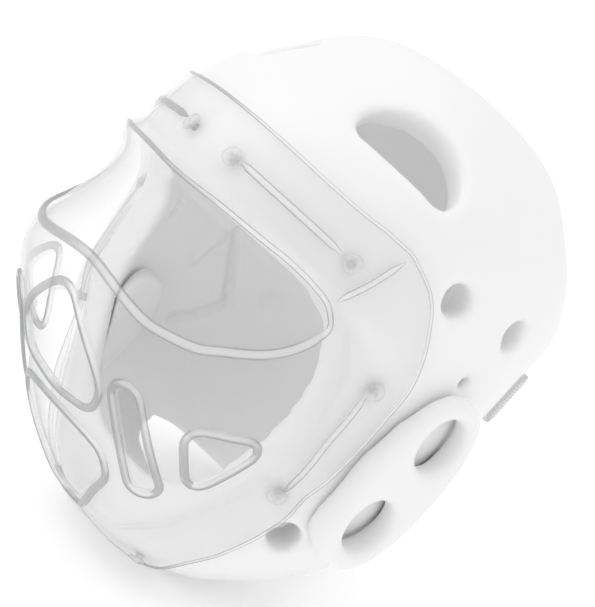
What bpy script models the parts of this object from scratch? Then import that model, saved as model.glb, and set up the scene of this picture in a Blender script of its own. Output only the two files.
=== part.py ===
"""Karate head guard of dipped foam with a clear riveted face shield.

The pieces are modelled as the guard is worn: x across the head with the wearer's left at +x, y to the
back, z up, and z = 0 at the lowest point of the foam under the chin. They hang on one empty, which
pitches the guard back until the chin sling and the nape stand on the ground, as it does on a shelf.
"""

import math

import bmesh
import bpy
from mathutils import Matrix, Vector
from mathutils.bvhtree import BVHTree

# Foam shell, in metres.
HEIGHT = 0.271
HALF_WIDTH = 0.099
FRONT = 0.122
BACK = 0.118
FOAM = 0.020
CHIN_FOAM = 0.030
CAVITY_LOW = 0.22
CAVITY_HIGH = 0.69
SQUARENESS = 2.05
RING_SIDES = 44
FIT = 0.0004

# Openings of the foam shell.
BROW_EDGE = 0.147
NAPE_EDGE = 0.050
SLING_BACK = 0.020
JAW_RUN = 0.040
FACE_HALF_WIDTH = 0.062
FACE_STOP = 0.012
MOON_WIDTH = 0.052
MOON_DEPTH = 0.027
SIDE_VENT = 0.016
SMALL_VENT = 0.007
FLAT_CUT = 0.0015

# How far a cutter reaches past what it cuts.
REACH = 0.010

# Ear flaps and cheek pads.
FLAP_HEIGHT = 0.098
FLAP_WIDTH = 0.057
FLAP_OUT = 0.0115
FLAP_ROOT = 0.014
FLAP_HOLE = 0.028
FLAP_HOLE_PITCH = 0.048
FLAP_CENTRE_Y = 0.0085
FLAP_CENTRE_Z = 0.110
PAD_HEIGHT = 0.070
PAD_WIDTH = 0.034
PAD_THICKNESS = 0.018
PAD_CENTRE_Y = -0.014
PAD_CENTRE_Z = 0.0685

# Face shield and rivets.
SHIELD = 0.0020
SEAT_GAP = 0.0011
SLOT_WIDTH = 0.010
RIVET_HEAD = 0.0090
RIVET_DOME = 0.0016
RIVET_RIM = 0.0006
RIVET_SHANK = 0.0038
RIVET_GRIP = 0.012

# Rear strap.
STRAP_WIDTH = 0.029
STRAP_THICKNESS = 0.0025
STRAP_Z = 0.172
STRAP_STAND_OFF = 0.0045
STRAP_ANGLE = 56.0
STRAP_TURN_IN = 2.0
STRAP_STEPS = 22
STRAP_TAIL = 0.005

# Outer form of the foam, from under the chin to the crown. Height is a share of HEIGHT, half width of
# HALF_WIDTH, front of FRONT, and the widest place and the back of BACK. Front and back are measured
# from the widest place.
FORM = (
    # height, half width, widest, front, back
    (0.000, 0.00, 0.05, 0.00, 0.00),
    (0.003, 0.17, 0.03, 0.12, 0.17),
    (0.011, 0.31, 0.02, 0.20, 0.36),
    (0.044, 0.53, 0.00, 0.23, 0.56),
    (0.096, 0.70, 0.02, 0.27, 0.66),
    (0.137, 0.81, 0.03, 0.30, 0.73),
    (0.185, 0.89, 0.05, 0.35, 0.76),
    (0.258, 0.95, 0.05, 0.46, 0.79),
    (0.321, 0.99, 0.03, 0.59, 0.83),
    (0.400, 1.00, 0.02, 0.65, 0.87),
    (0.495, 1.00, 0.00, 0.71, 0.91),
    (0.530, 1.00, 0.00, 0.82, 0.91),
    (0.556, 0.99, 0.00, 0.96, 0.92),
    (0.600, 0.99, 0.00, 0.975, 0.93),
    (0.690, 0.98, 0.00, 0.945, 0.96),
    (0.771, 0.95, 0.03, 0.90, 0.95),
    (0.815, 0.90, 0.04, 0.84, 0.87),
    (0.860, 0.81, 0.07, 0.75, 0.78),
    (0.900, 0.71, 0.06, 0.67, 0.69),
    (0.952, 0.54, 0.07, 0.55, 0.56),
    (0.980, 0.39, 0.12, 0.41, 0.42),
    (0.996, 0.20, 0.18, 0.21, 0.22),
    (1.000, 0.00, 0.19, 0.00, 0.00),
)

# Rim of the face opening seen from the side, from the brow down to under the chin.
RIM = (
    # y as a share of FRONT, z as a share of BROW_EDGE
    (-0.607, 1.000),
    (-0.525, 0.973),
    (-0.426, 0.911),
    (-0.344, 0.802),
    (-0.303, 0.667),
    (-0.279, 0.511),
    (-0.230, 0.341),
    (-0.197, 0.205),
    (-0.193, -0.136),
)

# Inner edge of the face opening seen from the front, right half, from the brow down.
FACE_OUTLINE = (
    # x as a share of FACE_HALF_WIDTH, z as a share of BROW_EDGE
    (0.97, 0.97),
    (0.98, 0.88),
    (1.00, 0.76),
    (0.95, 0.57),
    (0.82, 0.41),
    (0.60, 0.30),
    (0.32, 0.25),
)

# Lower edge of the foam seen from the side, from the back of the chin sling up to the nape.
JAW = (
    # y as a share of JAW_RUN, z as a share of NAPE_EDGE
    (0.00, 0.05),
    (0.10, 0.40),
    (0.28, 0.74),
    (0.60, 0.94),
    (1.00, 1.00),
)

# Face shield, a row for each section from the brow down. Centre is its middle, corner the place where
# it meets the rim of the foam, and edge its outer edge on the foam. Widths are shares of HALF_WIDTH,
# depths of FRONT and heights of HEIGHT. Fullness is 2 for an ellipse and more for a boxier section, and
# 0 for a row that lies on the foam all the way.
SHIELD_ROWS = (
    # centre y, centre z, corner x, y, z, edge x, y, z, fullness
    (-0.960, 0.685, 0.73, -0.67, 0.687, 0.81, -0.55, 0.687, 0.0),
    (-0.977, 0.665, 0.77, -0.65, 0.664, 0.88, -0.42, 0.662, 0.0),
    (-1.002, 0.620, 0.80, -0.62, 0.618, 0.93, -0.31, 0.610, 0.0),
    (-1.008, 0.575, 0.81, -0.58, 0.572, 0.96, -0.24, 0.560, 0.0),
    (-0.990, 0.548, 0.81, -0.54, 0.540, 0.97, -0.205, 0.515, 2.0),
    (-0.950, 0.520, 0.815, -0.45, 0.505, 0.975, -0.195, 0.470, 2.0),
    (-0.970, 0.460, 0.83, -0.37, 0.455, 0.98, -0.190, 0.425, 2.0),
    (-1.015, 0.395, 0.845, -0.33, 0.395, 0.975, -0.185, 0.380, 2.1),
    (-1.040, 0.345, 0.855, -0.315, 0.345, 0.965, -0.185, 0.330, 2.3),
    (-1.020, 0.300, 0.83, -0.30, 0.300, 0.94, -0.180, 0.288, 2.4),
    (-0.955, 0.255, 0.775, -0.275, 0.258, 0.905, -0.14, 0.245, 2.4),
    (-0.840, 0.205, 0.70, -0.25, 0.212, 0.855, -0.125, 0.195, 2.4),
    (-0.710, 0.155, 0.62, -0.225, 0.168, 0.79, -0.115, 0.150, 2.4),
    (-0.570, 0.105, 0.53, -0.21, 0.120, 0.70, -0.10, 0.103, 2.4),
    (-0.430, 0.062, 0.42, -0.205, 0.073, 0.57, -0.075, 0.062, 2.3),
    (-0.295, 0.028, 0.29, -0.20, 0.035, 0.44, -0.04, 0.030, 2.1),
    (-0.170, 0.004, 0.18, -0.14, 0.005, 0.34, -0.01, 0.013, 0.0),
    (-0.040, -0.004, 0.15, -0.035, -0.002, 0.30, 0.02, 0.008, 0.0),
)
BUBBLE_STEPS = 8
FLANGE_STEPS = 3

# Rivets on the wearer's left, near the skin of the foam; the right side mirrors them.
RIVETS = (
    # x as a share of HALF_WIDTH, y of FRONT, z of HEIGHT
    (0.160, -1.000, 0.616),
    (0.727, -0.680, 0.614),
    (0.905, -0.295, 0.491),
    (0.840, -0.213, 0.260),
    (0.330, -0.040, 0.030),
)

# Vents of the shield on the wearer's left, as corners and the way they are cut; mirrored or on the
# middle. Widths are shares of HALF_WIDTH, depths of FRONT and heights of HEIGHT. A cut is how deep the
# cutter goes: a length at the sides, and a share of twice FRONT at nose and chin.
NOSE_VENT = ((0.0, 0.300), (0.30, 0.210), (0.24, 0.172), (0.0, 0.160), (-0.24, 0.172), (-0.30, 0.210))
CHIN_VENT = ((0.30, 0.122), (0.32, 0.098), (0.10, 0.022), (-0.10, 0.022), (-0.32, 0.098), (-0.30, 0.122))
SIDE_VENT_CORNERS = ((0.63, -0.65, 0.258), (0.63, -0.40, 0.178), (0.82, -0.46, 0.312))
SIDE_VENT_AXIS = (0.78, -0.58, -0.22)
SLOT_ENDS = ((0.42, -0.79, 0.236), (0.485, -0.475, 0.140))
SLOT_AXIS = (0.45, -0.72, -0.53)
SIDE_CUT = 0.020
NOSE_CUT = 0.80
CHIN_CUT = 0.925

# Vent holes of the foam on the wearer's left, near its skin.
FOAM_VENTS = (
    # x as a share of HALF_WIDTH, y of FRONT, z of HEIGHT, diameter
    (0.93, -0.28, 0.685, SIDE_VENT),
    (0.95, 0.11, 0.712, SIDE_VENT),
    (0.97, 0.04, 0.598, SMALL_VENT),
    (0.87, -0.04, 0.212, SIDE_VENT),
)
MOON_PLACE = (0.585, -0.672, 0.790)


def clear_scene():
    for thing in list(bpy.data.objects):
        bpy.data.objects.remove(thing, do_unlink=True)


def material(name, colour, roughness, alpha=1.0):
    made = bpy.data.materials.new(name)
    made.use_nodes = True
    shader = made.node_tree.nodes["Principled BSDF"]
    shader.inputs["Base Color"].default_value = (*colour, 1.0)
    shader.inputs["Roughness"].default_value = roughness
    shader.inputs["Metallic"].default_value = 0.0
    shader.inputs["Alpha"].default_value = alpha
    made.diffuse_color = (*colour, alpha)
    return made


def add_object(name, mesh_data, surface, parent):
    mesh = bpy.data.meshes.new(name)
    bmesh.ops.recalc_face_normals(mesh_data, faces=mesh_data.faces)
    mesh_data.to_mesh(mesh)
    mesh_data.free()
    if surface:
        mesh.materials.append(surface)
    made = bpy.data.objects.new(name, mesh)
    made.parent = parent
    bpy.context.collection.objects.link(made)
    return made


def add_cutter(name, mesh_data, parent):
    made = add_object(name, mesh_data, None, parent)
    made.display_type = "WIRE"
    made.hide_render = True
    return made


def cut(target, cutter, operation="DIFFERENCE"):
    step = target.modifiers.new(cutter.name, "BOOLEAN")
    step.operation = operation
    step.solver = "EXACT"
    step.object = cutter


def skin_rings(inset, grow=0.0):
    """Rings of the foam's outer form, shrunk by a wall for the cavity or grown by a clearance."""
    rings = []
    floor = CHIN_FOAM if inset else -grow
    roof = HEIGHT - inset + grow
    low = CAVITY_LOW * HEIGHT
    high = CAVITY_HIGH * HEIGHT
    for height, half_width, widest, front, back in FORM:
        z = height * HEIGHT
        if z < low:
            z = floor + z * (low - floor) / low
        elif z > high:
            z = high + (z - high) * (roof - high) / (HEIGHT - high)
        across = half_width * (HALF_WIDTH - inset + grow)
        ahead = front * (FRONT - inset + grow)
        behind = back * (BACK - inset + grow)
        ring = []
        for k in range(RING_SIDES):
            turn = math.tau * k / RING_SIDES
            side = math.copysign(abs(math.sin(turn)) ** (2 / SQUARENESS), math.sin(turn))
            along = math.copysign(abs(math.cos(turn)) ** (2 / SQUARENESS), math.cos(turn))
            y = widest * BACK - along * (ahead if along > 0 else behind)
            ring.append(Vector((side * across, y, z)))
        rings.append(ring)
    return rings


def skin_body(inset=0.0, grow=0.0):
    """Closed body lofted through the rings, with a point at each end."""
    body = bmesh.new()
    rings = skin_rings(inset, grow)
    bottom = body.verts.new(rings[0][0])
    top = body.verts.new(rings[-1][0])
    loops = [[body.verts.new(point) for point in ring] for ring in rings[1:-1]]
    for k in range(RING_SIDES):
        after = (k + 1) % RING_SIDES
        body.faces.new((bottom, loops[0][after], loops[0][k]))
        body.faces.new((top, loops[-1][k], loops[-1][after]))
        for lower, upper in zip(loops, loops[1:]):
            body.faces.new((lower[k], lower[after], upper[after], upper[k]))
    bmesh.ops.recalc_face_normals(body, faces=body.faces)
    return body


def prism(outline, direction, near, far):
    """Closed prism over an outline of points, reaching from near to far along the direction."""
    body = bmesh.new()
    way = Vector(direction).normalized()
    start = [body.verts.new(Vector(point) + way * near) for point in outline]
    end = [body.verts.new(Vector(point) + way * far) for point in outline]
    body.faces.new(start)
    body.faces.new(end[::-1])
    for k in range(len(outline)):
        after = (k + 1) % len(outline)
        body.faces.new((start[k], end[k], end[after], start[after]))
    return body


def rounded(outline, share=0.3, steps=3):
    """The outline with each corner replaced by a curve that starts a share of each side from it."""
    points = []
    count = len(outline)
    for k, corner in enumerate(outline):
        corner = Vector(corner)
        before = corner.lerp(Vector(outline[k - 1]), share)
        after = corner.lerp(Vector(outline[(k + 1) % count]), share)
        for step in range(steps + 1):
            t = step / steps
            points.append(before.lerp(corner, t).lerp(corner.lerp(after, t), t))
    return points


def oval(half_width, half_height, squareness, sides):
    points = []
    for k in range(sides):
        turn = math.tau * k / sides
        across = math.copysign(abs(math.cos(turn)) ** (2 / squareness), math.cos(turn))
        up = math.copysign(abs(math.sin(turn)) ** (2 / squareness), math.sin(turn))
        points.append((across * half_width, up * half_height))
    return points


def seat(skin, place):
    """Nearest point of the skin to a place given in shares, and the outward direction there."""
    x, y, z = place
    point, normal, _, _ = skin.find_nearest(Vector((x * HALF_WIDTH, y * FRONT, z * HEIGHT)))
    return point, normal


def mirrored(vector, side):
    return Vector((vector[0] * side, vector[1], vector[2]))


def merged(bodies):
    """One mesh out of several closed bodies that lie apart."""
    whole = bmesh.new()
    for body in bodies:
        part = bpy.data.meshes.new("part")
        bmesh.ops.recalc_face_normals(body, faces=body.faces)
        body.to_mesh(part)
        body.free()
        whole.from_mesh(part)
        bpy.data.meshes.remove(part)
    return whole


def bar(point, axis, radius, near, far, sides):
    """Round bar about an axis, from near to far along it."""
    body = bmesh.new()
    turn = Vector(axis).to_track_quat("Z", "X").to_matrix().to_4x4()
    middle = Vector(point) + Vector(axis) * (near + far) / 2
    bmesh.ops.create_cone(
        body,
        cap_ends=True,
        segments=sides,
        radius1=radius,
        radius2=radius,
        depth=far - near,
        matrix=Matrix.Translation(middle) @ turn,
    )
    return body


def foam_cutters(parent, skin):
    """What is taken out of the foam: face, neck, crown openings, vents and the slits of the strap."""
    wide = 2 * HALF_WIDTH
    rim = [(-wide, y * FRONT, z * BROW_EDGE) for y, z in RIM]
    front = [(-wide, -2 * FRONT, rim[-1][2]), (-wide, -2 * FRONT, rim[0][2])]
    face_front = prism(rim + front, (1, 0, 0), 0, 2 * wide)
    half = [(x * FACE_HALF_WIDTH, -2 * FRONT, z * BROW_EDGE) for x, z in FACE_OUTLINE]
    outline = half + [(-x, y, z) for x, y, z in reversed(half)]
    face_back = prism(outline, (0, 1, 0), 0, 2 * FRONT - FACE_STOP)
    jaw = [(SLING_BACK + y * JAW_RUN, z * NAPE_EDGE) for y, z in JAW]
    under = [(2 * BACK, NAPE_EDGE), (2 * BACK, -REACH), (SLING_BACK, -REACH)]
    neck = prism([(-wide, y, z) for y, z in jaw + under], (1, 0, 0), 0, 2 * wide)
    return [
        add_cutter("cut_face_front", face_front, parent),
        add_cutter("cut_face_back", face_back, parent),
        add_cutter("cut_neck", neck, parent),
        add_cutter("cut_crown", merged(moon_cutters(skin)), parent),
        add_cutter("cut_vents", merged(vent_cutters(skin)), parent),
        add_cutter("cut_strap_slits", merged(slit_cutters()), parent),
        add_cutter("cut_rivet_holes", merged(rivet_holes(skin)), parent),
    ]


def moon_cutters(skin):
    """Half moon on each side of the crown, with its straight edge level and below the arc."""
    cutters = []
    for side in (-1, 1):
        point, normal = seat(skin, mirrored(MOON_PLACE, side))
        level = Vector((0, 0, 1)).cross(normal).normalized()
        rise = normal.cross(level)
        arc = [(math.cos(math.pi * k / 14), math.sin(math.pi * k / 14)) for k in range(15)]
        outline = [point + level * a * MOON_WIDTH / 2 + rise * b * MOON_DEPTH for a, b in arc]
        cutters.append(prism(outline, normal, -2.5 * FOAM, FOAM))
    return cutters


def vent_cutters(skin):
    cutters = []
    for side in (-1, 1):
        for x, y, z, diameter in FOAM_VENTS:
            point, normal = seat(skin, (x * side, y, z))
            cutters.append(bar(point, normal, diameter / 2, -2 * FOAM, FOAM, 20))
    return cutters


def rivet_places(skin):
    """Point and outward direction of each rivet, the wearer's right side first."""
    places = []
    for side in (-1, 1):
        for x, y, z in RIVETS:
            places.append(seat(skin, (x * side, y, z)))
    return places


def rivet_holes(skin):
    holes = []
    for point, normal in rivet_places(skin):
        holes.append(bar(point, normal, RIVET_SHANK / 2 + FIT, -RIVET_GRIP, REACH, 10))
    return holes


def rivet_seats(skin):
    """Flat seat in the shield under each rivet head."""
    seats = []
    for point, normal in rivet_places(skin):
        seats.append(bar(point, normal, RIVET_HEAD / 2 + FIT, SEAT_GAP + SHIELD, REACH, 16))
    return seats


def ring_at(z, turn, out):
    """Point of the skin at a height and a turn from the front, pushed out level."""
    rings = skin_rings(0.0)
    for lower, upper in zip(rings, rings[1:]):
        if lower[0].z <= z <= upper[0].z:
            break
    share = (z - lower[0].z) / (upper[0].z - lower[0].z)
    place = (turn / 360.0 * RING_SIDES) % RING_SIDES
    k = int(place)
    after = (k + 1) % RING_SIDES
    here = lower[k].lerp(upper[k], share)
    there = lower[after].lerp(upper[after], share)
    along = (there - here).normalized()
    return here.lerp(there, place - k) + Vector((along.y, -along.x, 0)) * out


def strap_path():
    """Middle line of the strap seen from above, from one slit round the back to the other."""
    path = []
    stand = STRAP_STAND_OFF + STRAP_THICKNESS / 2
    for k in range(STRAP_STEPS + 1):
        turn = 180.0 - STRAP_ANGLE + 2 * STRAP_ANGLE * k / STRAP_STEPS
        path.append(ring_at(STRAP_Z, turn, stand))
    tail = FOAM + STRAP_TAIL + stand
    first = ring_at(STRAP_Z, 180.0 - STRAP_ANGLE - STRAP_TURN_IN, stand - tail)
    last = ring_at(STRAP_Z, 180.0 + STRAP_ANGLE + STRAP_TURN_IN, stand - tail)
    return [first] + path + [last]


def slit_cutters():
    """Slit through the foam for each end of the strap."""
    cutters = []
    path = strap_path()
    for inner, outer in ((path[0], path[1]), (path[-1], path[-2])):
        way = (outer - inner).normalized()
        across = Vector((way.y, -way.x, 0)) * (STRAP_THICKNESS / 2 + 2 * FIT)
        rise = Vector((0, 0, STRAP_WIDTH / 2 + FIT))
        corners = [outer + across + rise, outer + across - rise, outer - across - rise, outer - across + rise]
        length = (outer - inner).length
        cutters.append(prism(corners, way, -length - REACH, STRAP_THICKNESS))
    return cutters


def floor_line(skin):
    """Pitch of the guard at rest, and a point of the ground line in the wearing frame."""
    sling = skin.ray_cast(Vector((REACH, SLING_BACK, -HEIGHT)), Vector((0, 0, 1)))[0]
    nape = skin.ray_cast(Vector((REACH, 2 * BACK, NAPE_EDGE)), Vector((0, -1, 0)))[0]
    pitch = math.atan2(nape.z - sling.z, nape.y - sling.y)
    lift = Vector((0, -math.sin(pitch), math.cos(pitch))) * FLAT_CUT
    return pitch, sling + lift


def foam_shell(parent, skin, surface):
    """One dipped foam body: crown, sides, nape, cheeks and the sling under the chin."""
    shell = add_object("foam_shell", skin_body(), surface, parent)
    cut(shell, add_cutter("cut_cavity", skin_body(inset=FOAM), parent))
    for cutter in foam_cutters(parent, skin):
        cut(shell, cutter)
    pitch, ground = floor_line(skin)
    down = Vector((0, math.sin(pitch), -math.cos(pitch)))
    along = Vector((0, math.cos(pitch), math.sin(pitch)))
    wide = Vector((2 * HALF_WIDTH, 0, 0))
    far = along * 2 * HEIGHT
    sole = [ground - wide - far, ground + wide - far, ground + wide + far, ground - wide + far]
    cut(shell, add_cutter("cut_ground", prism(sole, down, 0, FOAM), parent))
    return shell


def ear_flaps(parent, surface):
    """Thick oval pad over each ear and jaw, shaped to the shell behind it, with two holes."""
    for side, name in ((-1, "right"), (1, "left")):
        face = HALF_WIDTH + FLAP_OUT
        outline = [
            (side * face, FLAP_CENTRE_Y + a, FLAP_CENTRE_Z + b)
            for a, b in oval(FLAP_WIDTH / 2, FLAP_HEIGHT / 2, 2.3, 40)
        ]
        body = prism(outline, (-side, 0, 0), 0, FLAP_OUT + FLAP_ROOT)
        flap = add_object(f"ear_flap_{name}", body, surface, parent)
        back = add_cutter(f"cut_flap_back_{name}", skin_body(grow=FIT), parent)
        cut(flap, back)
        holes = []
        for step in (-0.5, 0.5):
            place = (0, FLAP_CENTRE_Y, FLAP_CENTRE_Z + step * FLAP_HOLE_PITCH)
            holes.append(bar(place, (side, 0, 0), FLAP_HOLE / 2, HALF_WIDTH - 2 * FOAM, face + REACH, 24))
        cut(flap, add_cutter(f"cut_flap_holes_{name}", merged(holes), parent))


def cheek_pads(parent, surface):
    """Pad inside each cheek, its back shaped to the cavity wall."""
    for side, name in ((-1, "right"), (1, "left")):
        inner = HALF_WIDTH - FOAM - PAD_THICKNESS
        outline = [
            (side * inner, PAD_CENTRE_Y + a, PAD_CENTRE_Z + b)
            for a, b in oval(PAD_WIDTH / 2, PAD_HEIGHT / 2, 2.4, 28)
        ]
        pad = add_object(f"cheek_pad_{name}", prism(outline, (side, 0, 0), 0, 2 * FOAM), surface, parent)
        wall = add_cutter(f"cut_pad_back_{name}", skin_body(inset=FOAM + 2 * FIT), parent)
        cut(pad, wall, "INTERSECT")


def shield_grid(skin):
    """Grid of points of the shield's inner face, a row for each section."""
    grid = []
    for row in SHIELD_ROWS:
        centre_y, centre_z, corner_x, corner_y, corner_z, edge_x, edge_y, edge_z, fullness = row
        centre = Vector((0, centre_y * FRONT, centre_z * HEIGHT))
        corner = Vector((corner_x * HALF_WIDTH, corner_y * FRONT, corner_z * HEIGHT))
        edge = Vector((edge_x * HALF_WIDTH, edge_y * FRONT, edge_z * HEIGHT))
        power = 2 / fullness if fullness else 1.0
        half = []
        for k in range(BUBBLE_STEPS + 1):
            turn = math.pi / 2 * k / BUBBLE_STEPS
            across = math.sin(turn) ** power
            ahead = math.cos(turn) ** power if k < BUBBLE_STEPS else 0.0
            swing = Vector((corner.x * across, corner.y, corner.z))
            swing += Vector((0, centre.y - corner.y, centre.z - corner.z)) * ahead
            half.append(laid_on(skin, swing) if fullness == 0.0 or k == BUBBLE_STEPS else swing)
        for k in range(1, FLANGE_STEPS + 1):
            half.append(laid_on(skin, corner.lerp(edge, k / FLANGE_STEPS)))
        grid.append([mirrored(point, -1) for point in reversed(half[1:])] + half)
    return grid


def laid_on(skin, place):
    point, normal, _, _ = skin.find_nearest(place)
    return point + normal * SEAT_GAP


def vent_prisms():
    """Cutters of the six vents of the shield."""
    ahead = -2 * FRONT
    nose = [(x * HALF_WIDTH, ahead, z * HEIGHT) for x, z in NOSE_VENT]
    chin = [(x * HALF_WIDTH, ahead, z * HEIGHT) for x, z in CHIN_VENT]
    cutters = [
        prism(rounded(nose), (0, 1, 0), 0, 2 * FRONT * NOSE_CUT),
        prism(rounded(chin), (0, 1, 0), 0, 2 * FRONT * CHIN_CUT),
    ]
    for side in (-1, 1):
        corners = [
            (x * HALF_WIDTH * side, y * FRONT, z * HEIGHT) for x, y, z in SIDE_VENT_CORNERS
        ]
        cutters.append(prism(rounded(corners), mirrored(SIDE_VENT_AXIS, side), -SIDE_CUT, SIDE_CUT))
        axis = mirrored(SLOT_AXIS, side).normalized()
        top, low = [Vector((x * HALF_WIDTH * side, y * FRONT, z * HEIGHT)) for x, y, z in SLOT_ENDS]
        along = (low - top).normalized()
        across = axis.cross(along).normalized() * SLOT_WIDTH / 2
        back = along.normalized() * SLOT_WIDTH / 2
        outline = []
        for end, way in ((low, 1), (top, -1)):
            for k in range(9):
                turn = math.pi * k / 8
                outline.append(end + (across * math.cos(turn) + back * math.sin(turn)) * way)
        cutters.append(prism(outline, axis, -SIDE_CUT, SIDE_CUT))
    return cutters


def face_shield(parent, skin, surface):
    """Clear moulded shield: seated on brow, cheeks and chin, bulging over the face opening."""
    grid = shield_grid(skin)
    sheet = bmesh.new()
    rows = [[sheet.verts.new(point) for point in row] for row in grid]
    for upper, lower in zip(rows, rows[1:]):
        for k in range(len(upper) - 1):
            sheet.faces.new((upper[k], lower[k], lower[k + 1], upper[k + 1]))
    mesh = bpy.data.meshes.new("face_shield")
    sheet.to_mesh(mesh)
    sheet.free()
    mesh.materials.append(surface)
    shield = bpy.data.objects.new("face_shield", mesh)
    shield.parent = parent
    bpy.context.collection.objects.link(shield)
    wall = shield.modifiers.new("wall", "SOLIDIFY")
    wall.thickness = SHIELD
    wall.offset = 1.0
    cut(shield, add_cutter("cut_shield_seat", skin_body(grow=2 * FIT), parent))
    for k, body in enumerate(vent_prisms()):
        cut(shield, add_cutter(f"cut_shield_vent_{k + 1}", body, parent))
    cut(shield, add_cutter("cut_shield_rivets", merged(rivet_holes(skin)), parent))
    cut(shield, add_cutter("cut_shield_heads", merged(rivet_seats(skin)), parent))
    return shield


def rivets(parent, skin, surface):
    """Domed rivets that hold the shield to the foam."""
    for k, (point, normal) in enumerate(rivet_places(skin)):
        seat_height = SEAT_GAP + SHIELD + FIT
        profile = []
        for step in range(4):
            turn = math.pi / 2 * step / 3
            rise = RIVET_RIM + (RIVET_DOME - RIVET_RIM) * math.cos(turn)
            profile.append((RIVET_HEAD / 2 * math.sin(turn), seat_height + rise))
        profile.append((RIVET_HEAD / 2, seat_height))
        profile.append((RIVET_SHANK / 2, seat_height))
        profile.append((RIVET_SHANK / 2, FIT - RIVET_GRIP))
        profile.append((0.0, FIT - RIVET_GRIP))
        body = bmesh.new()
        frame = Matrix.Translation(point) @ normal.to_track_quat("Z", "X").to_matrix().to_4x4()
        verts = [body.verts.new((radius, 0, z)) for radius, z in profile]
        edges = [body.edges.new(pair) for pair in zip(verts, verts[1:])]
        bmesh.ops.spin(
            body,
            geom=verts + edges,
            cent=(0, 0, 0),
            axis=(0, 0, 1),
            angle=math.tau,
            steps=10,
            use_merge=True,
        )
        bmesh.ops.remove_doubles(body, verts=body.verts, dist=0.00001)
        bmesh.ops.transform(body, matrix=frame, verts=body.verts)
        add_object(f"rivet_{k + 1:02d}", body, surface, parent)


def rear_strap(parent, surface):
    """Wide woven strap across the back of the head, its ends held in slits of the foam."""
    path = strap_path()
    body = bmesh.new()
    rise = Vector((0, 0, STRAP_WIDTH / 2))
    sections = []
    for k, point in enumerate(path):
        before = path[max(k - 1, 0)]
        after = path[min(k + 1, len(path) - 1)]
        way_in = (point - before).normalized() if k else (after - point).normalized()
        way_out = (after - point).normalized() if k < len(path) - 1 else way_in
        way = (way_in + way_out).normalized()
        reach = STRAP_THICKNESS / 2 / max(way.dot(way_in), 0.5)
        side = Vector((way.y, -way.x, 0)) * reach
        corners = (point + side + rise, point - side + rise, point - side - rise, point + side - rise)
        sections.append([body.verts.new(corner) for corner in corners])
    for near, far in zip(sections, sections[1:]):
        for k in range(4):
            after = (k + 1) % 4
            body.faces.new((near[k], near[after], far[after], far[k]))
    body.faces.new(sections[0])
    body.faces.new(sections[-1][::-1])
    add_object("rear_strap", body, surface, parent)


def stand_on_ground(wearing, skin):
    """Pitch the guard to rest on sling and nape, with the origin under the middle of its box."""
    pitch, ground = floor_line(skin)
    wearing.rotation_euler = (-pitch, 0, 0)
    turned = Matrix.Rotation(-pitch, 3, "X") @ ground
    wearing.location = (0, 0, -turned.z)
    bpy.context.view_layer.update()
    graph = bpy.context.evaluated_depsgraph_get()
    depths = []
    for thing in bpy.data.objects:
        if thing.type == "MESH" and not thing.hide_render:
            seen = thing.evaluated_get(graph).data
            depths += [(thing.matrix_world @ vertex.co).y for vertex in seen.vertices]
    wearing.location.y = -(min(depths) + max(depths)) / 2
    bpy.context.view_layer.update()


def smooth_shading():
    for thing in bpy.data.objects:
        if thing.type == "MESH" and not thing.hide_render:
            thing.data.shade_smooth()
            thing.data.set_sharp_from_angle(angle=math.radians(40))


def build():
    clear_scene()
    wearing = bpy.data.objects.new("wearing_frame", None)
    bpy.context.collection.objects.link(wearing)
    body = skin_body()
    skin = BVHTree.FromBMesh(body)
    body.free()
    foam = material("white dipped foam", (0.90, 0.90, 0.90), 0.42)
    pad = material("white pad foam", (0.86, 0.86, 0.87), 0.60)
    clear = material("clear plastic", (0.95, 0.96, 0.97), 0.05, 0.30)
    rivet = material("clear rivet", (0.80, 0.81, 0.83), 0.15)
    woven = material("light grey woven strap", (0.72, 0.72, 0.72), 0.85)
    foam_shell(wearing, skin, foam)
    ear_flaps(wearing, foam)
    cheek_pads(wearing, pad)
    face_shield(wearing, skin, clear)
    rivets(wearing, skin, rivet)
    rear_strap(wearing, woven)
    smooth_shading()
    stand_on_ground(wearing, skin)


build()
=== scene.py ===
import math

import bmesh
import bpy
import numpy as np
from mathutils import Matrix, Vector
from mathutils.bvhtree import BVHTree


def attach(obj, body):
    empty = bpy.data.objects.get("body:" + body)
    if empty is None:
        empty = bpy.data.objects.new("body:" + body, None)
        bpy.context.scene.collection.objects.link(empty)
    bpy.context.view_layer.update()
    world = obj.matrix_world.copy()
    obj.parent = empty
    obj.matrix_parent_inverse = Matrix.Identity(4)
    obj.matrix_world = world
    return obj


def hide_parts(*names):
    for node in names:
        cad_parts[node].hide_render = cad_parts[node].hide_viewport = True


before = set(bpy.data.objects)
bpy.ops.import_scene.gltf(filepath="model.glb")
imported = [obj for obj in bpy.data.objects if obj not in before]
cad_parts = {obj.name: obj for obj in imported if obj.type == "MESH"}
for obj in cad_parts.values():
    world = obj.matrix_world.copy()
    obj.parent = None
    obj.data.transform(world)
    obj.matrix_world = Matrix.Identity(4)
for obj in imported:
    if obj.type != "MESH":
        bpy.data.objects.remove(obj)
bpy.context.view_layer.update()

# 1. Foam shell. One body of soft closed-cell foam, moulded in one piece and dipped in white vinyl, so
# every rim is round and no seam shows. It is drawn as it is worn and pitched back to stand on the
# chin sling and the nape. Lengths are in metres, and z = 0 is the lowest foam as worn.
PITCH = math.radians(33.305)
WORN = Matrix.Translation((0.0, -0.07523, 0.00879)) @ Matrix.Rotation(-PITCH, 4, "X")
HEIGHT = 0.271
HALF_WIDTH = 0.099
FRONT = 0.122
BACK = 0.118
SQUARENESS = 2.05
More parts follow.
